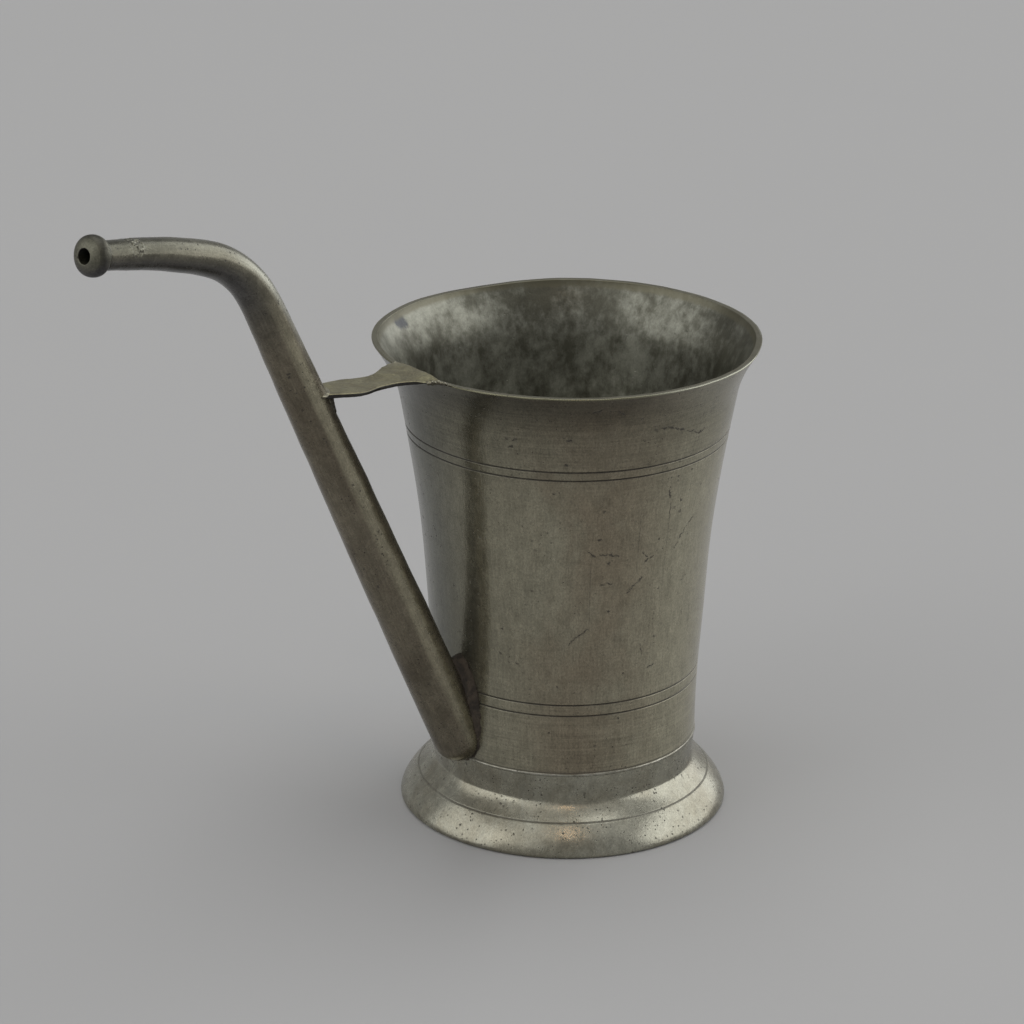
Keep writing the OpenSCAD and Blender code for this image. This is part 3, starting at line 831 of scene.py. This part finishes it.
# Points of the spout's axis, summed up in fine steps from its lower end
FIRST = np.array([ROOT_X, 0.0, ROOT_Z]) + END_UP * heading(np.array(0.0))
FINE = np.linspace(END_UP, SPOUT, 3001)
STEPS = np.diff(FINE)[:, None] * heading((FINE[1:] + FINE[:-1]) / 2)
PATH = np.concatenate([[FIRST], FIRST + np.cumsum(STEPS, 0)])


def axis_at(s):
    return np.stack([np.interp(s, FINE, PATH[:, i]) for i in range(3)], -1)


# Points of rings round the spout's axis at distances s with the given radii
def spout_rings(s, radius, sides, squash=None):
    s = np.asarray(s, float)
    b = np.arange(sides) * TAU / sides
    across = sideways(s)
    above = np.cross(heading(s), across)
    flat = np.zeros_like(s) if squash is None else squash
    x = (radius * (1 + flat))[:, None] * np.cos(b)
    y = (radius * (1 - flat))[:, None] * np.sin(b)
    inside = s < END_UP
    centre = np.where(inside[:, None], FIRST + (s - END_UP)[:, None] * heading(0 * s), axis_at(s))
    return (centre[:, None] + x[..., None] * across[:, None] + y[..., None] * above[:, None]).reshape(-1, 3)


# Distance along the spout and position across it for any points near it
def spout_flow(points):
    s = np.zeros(len(points))
    for i in range(0, len(points), 4000):
        part = points[i:i + 4000]
        away = ((part[:, None] - PATH[None, ::6]) ** 2).sum(2)
        s[i:i + 4000] = FINE[::6][away.argmin(1)]
    off = points - axis_at(s)
    across = sideways(s)
    above = np.cross(heading(s), across)
    s = s + (off * heading(s)).sum(1)
    return np.stack([(off * across).sum(1), (off * above).sum(1), s], 1)


# Bent tapering tube with a round closed end, cut to the drum
def spout_tube():
    sides = 72
    along = np.concatenate([np.arange(END_UP, STRAIGHT, 1.8), np.arange(STRAIGHT, JOINT, 0.8), [JOINT]])
    dome = np.radians(np.linspace(5, 84, 12))

    def skin(t):
        r = tube_r(END_UP) - t
        s = np.concatenate([END_UP - r * np.cos(dome), along])
        return s, np.concatenate([r * np.sin(dome), tube_r(along) - t])

    s0, r0 = skin(0.0)
    s1, r1 = skin(TUBE_WALL)
    s = np.concatenate([s0, s1[::-1]])
    r = np.concatenate([r0, r1[::-1]])
    points = spout_rings(s, r, sides, 0.022 * hump(s, STRAIGHT + BEND / 2, 13))
    flow = np.repeat(s, sides)
    outer = np.arange(len(points)) < len(s0) * sides
    middle = np.repeat(axis_at(np.maximum(s, END_UP)), sides, 0)
    off = points - middle
    free = ramp(flow, 24, 15) * (1 - ramp(flow, JOINT - 12, 10))
    swell = (0.010 * lumps(points, 9, 31) + 0.006 * lumps(points, 4, 32)) * free
    points = middle + off * (1 + np.where(outer, swell, 0))[:, None]
    obj = make("spout_tube_bent", points, ring_faces(len(s), sides, False), 40)
    zs = np.linspace(FOOT_NECK_Z, ROOT_Z + 26, 60)
    blank, faces = turned(np.stack([drum_r(zs) + SEAM, zs], 1), 240, False)
    carve(obj, make("drum_tool", blank, faces))
    set_flow(obj, spout_flow(points_of(obj)))
    smooth(obj, 40)
    look = pewter_look("spout_pewter", (0.185, 0.163, 0.120), (0.135, 0.116, 0.084), 13.0, 0.26, 0.78,
                       grain_long=22.0, shift=60.0, contrast=1.1, side="spout")
    done(obj, ["spout_tube"], look)
    return look


# Puts points made round Z, with Z out of the mouth and zero at the bulb's middle, in their place
def at_mouth(points):
    end = np.array(SPOUT)
    ahead = heading(end)
    across = sideways(end)
    above = np.cross(ahead, across)
    return axis_at(end) + points @ np.stack([across, above, ahead])


# Radius of the shank at a distance from the bulb's middle along the axis, out of the mouth
def shank_r(z):
    start = tube_r(np.array(JOINT))
    return np.interp(z, [-SHANK, SHANK_END], [start, NECK_R])


# Bulb, neck and shank turned in one piece round the mouth bore
def mouthpiece(look):
    a = np.radians(np.linspace(-90, 90, 120))
    power = 2 / 2.25
    out = BULB_R * np.abs(np.cos(a)) ** power
    ahead = SHOWN_HALF * np.sign(np.sin(a)) * np.abs(np.sin(a)) ** power
    keep = out > np.where(ahead > 0, BORE_R + MOUTH_ROUND, NECK_R + FILLET_OUT)
    bulb = np.stack([out, ahead], 1)[keep]
    back = bulb[0, 1]
    front = bulb[-1, 1]
    a = np.radians(np.linspace(14, 90, 12))
    neck = np.stack([NECK_R + FILLET_OUT * (1 - np.sin(a)), back - FILLET_LONG * (1 - np.cos(a))], 1)[::-1]
    shank = np.linspace(-SHANK + SEAM, back - FILLET_LONG - 0.35, 14)
    cone = np.stack([shank_r(shank), shank], 1)
    a = np.radians(np.linspace(15, 90, 5))
    rounding = np.stack([BORE_R + MOUTH_ROUND * (1 - np.sin(a)), front - MOUTH_ROUND * (1 - np.cos(a))], 1)
    plug = float(tube_r(np.array(JOINT))) - TUBE_WALL - SEAM
    deep = -SHANK - PLUG
    bore = np.stack([np.full(12, BORE_R), np.linspace(front - 0.4, deep, 12)], 1)
    start = [[plug, deep], [plug, -SHANK + SEAM]]
    points, faces = turned(np.concatenate([start, cone, neck, bulb, rounding, bore]), 96)
    outside = (radii(points) > BORE_R + 0.3) * (points[:, 2] > -SHANK + 1)
    widen(points, 0.02 * lumps(points, 2.5, 41) * outside)
    obj = make("mouthpiece_turned", at_mouth(points), faces, 34)
    set_flow(obj, points + [0, 0, SPOUT])
    along = points[:, 2]
    r = radii(points)
    set_mask(obj, "tip", ease(ramp(along, back - 0.6, 1.2)))
    # Painted shade round the bulb
    set_mask(obj, "bulb_side_shade", 0.95 * hump(along, 0.7, 1.2) * (r > NECK_R + 0.6))
    # Painted highlight on the neck
    set_mask(obj, "worn_and_highlight", 1.5 * hump(along, back + 0.45, 0.8) * (r > BORE_R + 0.5))
    done(obj, ["mouthpiece"], look)


# Solder smoothed down over the seam between tube and mouthpiece, with low lumps left on its upper side
def mouthpiece_solder(look):
    u = np.linspace(-3.4, 5.0, 80)
    under = np.where(u > 0, shank_r(u - SHANK), tube_r(JOINT + u))
    proud = np.interp(u, [-3.4, -3.0, -1.0, 2.6, 4.6, 5.0], [-0.03, 0.0, 0.04, 0.04, 0.0, -0.03])
    outer = np.stack([under + proud, u], 1)
    inner = np.stack([under[::-1] - 0.08, u[::-1]], 1)
    sides = 140
    points, faces = turned(np.concatenate([outer, inner]), sides)
    outside = np.repeat(np.arange(2 * len(u)) < len(u), sides)
    gap = np.abs((angles(points) - 56 + 180) % 360 - 180)
    patch = hump(gap, 0, 44) * hump(points[:, 2], 1.6, 2.0) * outside
    widen(points, patch * (0.06 + 0.12 * lumps(points, 0.75, 51) + 0.06 * lumps(points, 0.4, 52)))
    obj = make("mouthpiece_solder_lumpy", at_mouth(points - [0, 0, SHANK]), faces, 60)
    set_flow(obj, points + [0, 0, JOINT])
    set_mask(obj, "worn_and_highlight", patch * 0.8)
    done(obj, ["mouthpiece_solder"], look)


# Bright bead between drum and foot
def foot_solder(look):
    a = np.radians(np.linspace(-85, 95, 11))
    bead = np.stack([DRUM_R0 - 0.16 + 0.30 * np.cos(a), FOOT_H + 0.08 + 0.40 * np.sin(a)], 1)
    points, faces = turned(bead, 480)
    bump = 0.04 * lumps(points, 4.0, 61) + 0.015 * lumps(points, 0.9, 62)
    widen(points, bump * (radii(points) > DRUM_R0 - 0.25))
    obj = make("foot_solder_bead", points, faces, 60)
    set_flow(obj, points)
    done(obj, ["foot_solder"], look)


# Fillet of solder round the bottom inside the cup
def bottom_solder(look):
    r = drum_r(np.array(INSIDE_Z)) - wall(INSIDE_Z)
    profile = [[r - 0.8, INSIDE_Z], [r - 0.03, INSIDE_Z], [r - 0.03, INSIDE_Z + 0.85],
               [r - 0.18, INSIDE_Z + 0.5], [r - 0.42, INSIDE_Z + 0.2]]
    points, faces = turned(profile)
    points[:, 2] += np.where(points[:, 2] > INSIDE_Z + 0.1, 0.05 * lumps(points, 1.8, 71), 0)
    obj = make("bottom_solder_fillet", points, faces, 60)
    set_flow(obj, points)
    done(obj, ["bottom_solder"], look)


# Fillet rolled into the crease between spout and drum, widest up in the crotch
def root_solder(look):
    n = 300
    a = np.arange(n) * TAU / n
    way = heading(np.array(0.0))
    high = hump(np.degrees(a), 118, 52)
    wave = lumps(np.stack([18 * np.cos(a), 18 * np.sin(a), 0 * a], 1), 3.0, 91)
    ball = 0.42 + 1.30 * high + 0.08 * wave

    # A ball that touches the drum, t millimetres from the spout's root, and its nearest point on the axis
    def rolled(t):
        z = 24.0 + t * np.sin(a)
        r = drum_r(np.maximum(z, FOOT_H)) + ball
        turn = math.pi - t * np.cos(a) / DRUM_R0
        centre = np.stack([r * np.cos(turn), r * np.sin(turn), z], 1)
        s = np.maximum((centre - FIRST) @ way, 0)
        foot_point = FIRST + s[:, None] * way
        off = centre - foot_point
        return centre, foot_point, off, np.linalg.norm(off, axis=1), tube_r(END_UP + s)

    low = np.zeros(n)
    far = np.full(n, 60.0)
    for _ in range(40):
        mid = (low + far) / 2
        _, _, _, size, rod = rolled(mid)
        close = size - rod < ball
        low = np.where(close, mid, low)
        far = np.where(close, far, mid)
    centre, foot_point, off, size, rod = rolled(low)
    out = off / size[:, None]
    flat = centre * [1, 1, 0]
    flat /= np.linalg.norm(flat, axis=1)[:, None]
    drum_side = centre - flat * ball[:, None]
    tube_side = foot_point + out * rod[:, None]
    u = -flat
    v = -out
    angle = np.arccos(np.clip((u * v).sum(1), -1, 1))[:, None]
    ring = []
    for share in np.linspace(0, 1, 9):
        arc = (np.sin((1 - share) * angle) * u + np.sin(share * angle) * v) / np.sin(angle)
        ring.append(centre + arc * ball[:, None])
    ring += [tube_side - out * 0.3, drum_side - flat * 0.3]
    points = np.stack(ring, 1).reshape(-1, 3)
    obj = make("root_solder_fillet", points, ring_faces(n, len(ring)), 60, True)
    roughen(obj, 0.07, 0.9, 92, 0.03)
    done(obj, ["root_solder"], look)


# Smooth curve through rows of numbers, the first of which is the distance along
def through(rows, at):
    rows = np.asarray(rows, float)
    x = rows[:, 0]
    slope = np.gradient(rows[:, 1:], x, axis=0)
    i = np.clip(np.searchsorted(x, at, side="right") - 1, 0, len(x) - 2)
    h = (x[i + 1] - x[i])[:, None]
    u = (at - x[i])[:, None] / h
    start, end = rows[i, 1:], rows[i + 1, 1:]
    return ((2 * u ** 3 - 3 * u ** 2 + 1) * start + (u ** 3 - 2 * u ** 2 + u) * h * slope[i]
            + (3 * u ** 2 - 2 * u ** 3) * end + (u ** 3 - u ** 2) * h * slope[i + 1])


# Flat strap: distance out from the axis, sideways middle, half width and rise of each station
STRAP = (
    (43.2, -0.15, 8.1, 0.0), (44.4, -0.15, 8.15, 0.0), (45.8, 0.15, 7.75, 0.0), (47.2, 0.0, 7.0, 0.0),
    (48.6, -0.15, 6.25, 0.0), (50.2, -0.25, 5.3, 0.0), (52.2, -0.5, 4.35, 0.0), (54.5, -0.75, 3.85, 0.02),
    (57.0, -0.85, 3.95, 0.1), (59.2, -1.05, 4.4, 0.24), (61.5, -1.25, 5.05, 0.42), (64.0, -1.45, 5.2, 0.62),
    (66.5, -1.4, 4.7, 0.8), (69.0, -1.1, 4.0, 0.92), (72.5, -0.6, 3.2, 1.0),
)


# Cuts away what reaches into the tube, with the given gap round it
def cut_to_tube(obj, gap):
    s = np.linspace(88.0, 116.0, 30)
    rod = spout_rings(s, tube_r(s) + gap, 64)
    carve(obj, make("rod_tool", rod, ring_faces(len(s), 64, False)))


def rim_bracket(look):
    out = np.linspace(STRAP[0][0], STRAP[-1][0], 130)
    middle, half, rise_by = through(STRAP, out).T
    side_steps = np.linspace(-1, 1, 41)[:, None]
    y = middle + side_steps * half
    thin = ease(ramp(np.abs(y), 4.2, 4.0)) * ease(1 - ramp(out, 46.5, 2.5))
    edge = 0.16 * ramp(np.abs(side_steps), 0.93, 0.07) ** 2
    top = LIP_TOP + 0.95 + rise_by - 0.5 * thin - edge
    low = LIP_TOP - 0.03 + rise_by + edge
    x = -out + 0 * y
    upper = np.stack([x, y, top], 2)
    lower = np.stack([x, y, low], 2)[::-1]
    points = np.concatenate([upper, lower]).transpose(1, 0, 2).reshape(-1, 3)
    obj = make("rim_bracket_strap", points, ring_faces(len(out), 82, False), 60, True)
    cut_to_tube(obj, 0.06)
    even_out(obj, 0.14, 3)
    roughen(obj, 0.028, 2.4, 81, 0.010)
    done(obj, ["rim_bracket"], look)


# Place out from the tube's surface at height z, turned round it in degrees from the side facing the drum
def on_tube(z, turn, out):
    lean = math.radians(LEAN)
    b = math.radians(turn)
    r = float(tube_r((z - ROOT_Z) / math.cos(lean))) + out
    x = ROOT_X - (z - ROOT_Z) * math.tan(lean) + r / math.cos(lean) * math.cos(b)
    return x, r * math.sin(b)


# Solder that runs from the strap onto the tube, low on top and a small web beneath
def strap_solder(look):
    drops = []
    for k, turn in enumerate(range(-64, 34, 4)):
        x, y = on_tube(114.72, turn, 0.12)
        drops.append((x, y, 114.72, 0.75, 0.7, 0.38 + 0.06 * math.sin(1.7 * k)))
    for z, out, size in ((113.3, 0.45, 1.0), (112.5, 0.22, 0.85), (111.6, 0.02, 0.75),
                         (110.7, -0.15, 0.65), (109.8, -0.25, 0.55)):
        for turn in range(-40, 32, 4):
            full = min(1.0, (turn + 40) / 26)
            x, y = on_tube(z, turn, out * full - 0.5 * (1 - full))
            drops.append((x, y, z, size * (0.5 + 0.5 * full), 0.75, 0.75 + 0.06 * math.sin(0.33 * turn)))
    obj = run_solder("strap_solder_run", drops, 0.13, 16, 0.04, 0.9, 87)
    cut_to_tube(obj, 0.02)
    set_flow(obj, points_of(obj))
    smooth(obj, 60)
    done(obj, ["strap_solder"], look)


# Drops of solder at the fan's corners: place and radii in millimetres
FRONT_DROPS = (
    (-46.1, -7.55, 113.1, 0.45, 0.42, 0.44), (-45.3, -7.95, 113.15, 0.5, 0.42, 0.56),
    (-44.6, -8.15, 113.05, 0.45, 0.4, 0.40), (-44.0, -8.4, 113.15, 0.55, 0.5, 0.64),
    (-43.6, -9.1, 113.1, 0.5, 0.5, 0.40), (-43.3, -9.8, 113.1, 0.42, 0.42, 0.50),
    (-43.0, -10.8, 113.0, 0.3, 0.6, 0.26),
)
BACK_DROPS = (
    (-43.5, 7.6, 113.1, 0.6, 0.7, 0.45), (-43.2, 8.5, 113.0, 0.5, 0.7, 0.36),
    (-43.0, 9.3, 112.95, 0.35, 0.5, 0.26),
)

cup_drum()
foot()
spout_pewter = spout_tube()
mouthpiece(spout_pewter)
solder = pewter_look("solder", (0.38, 0.37, 0.315), (0.255, 0.246, 0.20), 3.0, 0.3, 0.8,
                     shift=80.0, bump=1.2)
# Strap solder's edges and underside take a dark painted shade
tip_solder = pewter_look("tip_solder", (0.34, 0.325, 0.25), (0.19, 0.178, 0.125), 2.0, 0.3, 0.75,
                         pit=0.4, shift=85.0, contrast=1.1, bump=1.2, side="strap",
                         under=(0.080, 0.072, 0.053))
# Dark solder, darkened further as painted shade in the crease between spout and drum
dark_solder = pewter_look("dark_solder", (0.094, 0.074, 0.053), (0.038, 0.030, 0.023), 2.4, 0.55, 0.35,
                          shift=90.0, bump=1.4)
# The bracket's edges and underside take a dark painted shade
bracket_pewter = pewter_look("bracket_pewter", (0.264, 0.245, 0.148), (0.190, 0.172, 0.102), 5.0,
                             0.34, 0.72, shift=70.0, contrast=1.1, bump=1.5, side="strap")
mouthpiece_solder(spout_pewter)
foot_solder(solder)
bottom_solder(solder)
root_solder(dark_solder)
rim_bracket(bracket_pewter)
strap_solder(tip_solder)
for way, drops, seed in (("front", FRONT_DROPS, 84), ("back", BACK_DROPS, 85)):
    drop = run_solder("fan_solder_drop_" + way, drops, 0.10, 3, 0.05, 0.6, seed)
    done(drop, ["fan_solder_" + way], tip_solder)

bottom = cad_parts["cup_bottom"]
bottom.data.materials.clear()
bottom.data.materials.append(pewter_look("bottom_pewter", (0.20, 0.19, 0.15), (0.10, 0.095, 0.075), 9.0,
                                         0.38, 0.7, pit=0.4, mapped=False, shift=30.0))

# Camera where the photograph was taken from
PITCH = 0.36236
ROLL = 0.009236
level = Vector((0.6293, 0.7772, 0.0))
ahead = Vector((level.x * math.cos(PITCH), level.y * math.cos(PITCH), -math.sin(PITCH)))
right0 = Vector((0.7772, -0.6293, 0.0))
up0 = Vector((level.x * math.sin(PITCH), level.y * math.sin(PITCH), math.cos(PITCH)))
right = right0 * math.cos(ROLL) + up0 * math.sin(ROLL)
above = up0 * math.cos(ROLL) - right0 * math.sin(ROLL)
camera = add("camera", bpy.data.cameras.new("camera"))
camera.data.sensor_width = 36.0
camera.data.lens = 140.625
camera.data.clip_start = 0.01
camera.data.clip_end = 100.0
axes = Matrix((right, above, -ahead)).transposed().to_4x4()
camera.matrix_world = Matrix.Translation((-0.55233, -0.66219, 0.39698)) @ axes
bpy.context.scene.camera = camera


# Pale grey floor, wide enough to fill the view
def floor():
    n = 13
    xs = np.linspace(-9000.0, 9000.0, n)
    points = [(x, y, 0.0) for y in xs for x in xs]
    faces = [(j * n + i, j * n + i + 1, (j + 1) * n + i + 1, (j + 1) * n + i)
             for j in range(n - 1) for i in range(n - 1)]
    obj = make("floor", points, faces)
    look = Look("floor_grey", mapped=False)
    fine = look.noise(60.0, 2.0, 0.5)
    tone = look.mix(fine, (0.406, 0.406, 0.406), (0.410, 0.410, 0.410))
    look.finish(tone, 0.0, 0.9)
    look.shader.inputs["Specular IOR Level"].default_value = 0.0
    obj.data.materials.append(look.material)


floor()
# Metres from the jug to each lamp
LAMPS_AWAY = 5.0


# Soft box seen from the jug at a bearing from the camera, to its right, and an elevation in degrees
def lamp(name, bearing_deg, elevation_deg, width, height, radiance, tint=(1.0, 1.0, 1.0)):
    b = math.radians(bearing_deg)
    e = math.radians(elevation_deg)
    way = (-level * math.cos(b) + right0 * math.sin(b)) * math.cos(e) + Vector((0, 0, math.sin(e)))
    data = bpy.data.lights.new(name, "AREA")
    data.shape = "RECTANGLE"
    data.size = width
    data.size_y = height
    data.energy = radiance * math.pi * width * height
    data.color = tint
    obj = add(name, data)
    obj.location = way * LAMPS_AWAY + Vector((0, 0, 0.06))
    obj.rotation_euler = way.to_track_quat("Z", "Y").to_euler()


lamp("box_left", -72.0, 20.0, 5.0, 4.4, 1.15)
lamp("box_right", 106.0, 20.0, 8.8, 4.4, 1.5)
lamp("box_above", 165.0, 76.0, 4.4, 4.4, 1.55)
lamp("arch_top", 0.0, 66.0, 9.0, 3.0, 0.32)
lamp("arch_left", -37.0, 35.0, 3.0, 2.2, 0.62)
lamp("arch_front", -18.0, 55.0, 3.4, 1.3, 0.45)
lamp("glint_front", 5.0, 53.0, 0.5, 0.34, 6.5, (1.0, 0.62, 0.35))

world = bpy.data.worlds.new("studio")
world.use_nodes = True
world.node_tree.nodes["Background"].inputs[0].default_value = (0.30, 0.30, 0.30, 1.0)
world.node_tree.nodes["Background"].inputs[1].default_value = 1.0
bpy.context.scene.world = world
bpy.context.scene.view_settings.view_transform = "Standard"
